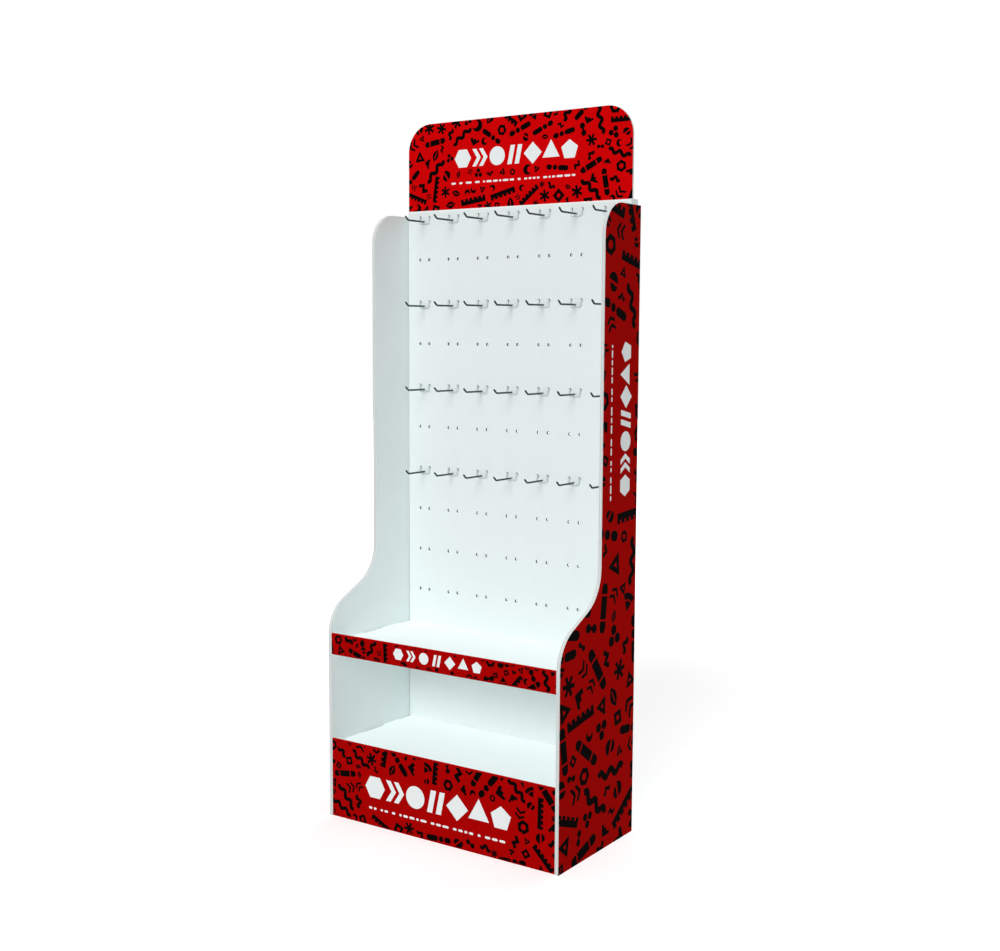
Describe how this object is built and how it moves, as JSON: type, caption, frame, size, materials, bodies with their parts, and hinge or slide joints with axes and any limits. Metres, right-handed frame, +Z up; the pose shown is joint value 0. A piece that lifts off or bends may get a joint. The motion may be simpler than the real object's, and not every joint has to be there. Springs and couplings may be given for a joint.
{
  "type": "cardboard display stand",
  "caption": "Floor display stand of corrugated board with a header card, a perforated back with wire hooks, a shelf with a front lip and a closed base with a low shelf.",
  "frame": {"origin": "on the floor, at the centre of the stand's footprint", "axes": "+X to the right seen from the front, +Y to the rear, +Z up; the front faces -Y"},
  "size_m": [0.584, 0.295, 1.5],
  "materials": {
    "printed_side_board": "coated double-leaf board, red print outside, white inside and on its edges",
    "printed_header_board": "coated card with a red printed front and a white back",
    "printed_tray_board": "white coated board with a red printed front lip",
    "white_board": "white coated corrugated board, satin",
    "divider_board": "plain kraft corrugated board",
    "hook_wire": "plated steel wire, welded"
  },
  "bodies": {
    "root": {"right_side_panel": "printed_side_board", "left_side_panel": "printed_side_board", "perforated_back_panel": "white_board", "header_card": "printed_header_board", "upper_shelf_tray": "printed_tray_board", "base_tray": "printed_tray_board", "base_long_divider": "divider_board", "base_cross_divider_left": "divider_board", "base_cross_divider_right": "divider_board", "hook_row1_col1": "hook_wire", "hook_row1_col2": "hook_wire", "hook_row1_col3": "hook_wire", "hook_row1_col4": "hook_wire", "hook_row1_col5": "hook_wire", "hook_row1_col6": "hook_wire", "hook_row1_col7": "hook_wire", "hook_row2_col1": "hook_wire", "hook_row2_col2": "hook_wire", "hook_row2_col3": "hook_wire", "hook_row2_col4": "hook_wire", "hook_row2_col5": "hook_wire", "hook_row2_col6": "hook_wire", "hook_row2_col7": "hook_wire", "hook_row3_col1": "hook_wire", "hook_row3_col2": "hook_wire", "hook_row3_col3": "hook_wire", "hook_row3_col4": "hook_wire", "hook_row3_col5": "hook_wire", "hook_row3_col6": "hook_wire", "hook_row3_col7": "hook_wire", "hook_row4_col1": "hook_wire", "hook_row4_col2": "hook_wire", "hook_row4_col3": "hook_wire", "hook_row4_col4": "hook_wire", "hook_row4_col5": "hook_wire", "hook_row4_col6": "hook_wire", "hook_row4_col7": "hook_wire"}
  },
  "joints": []
}
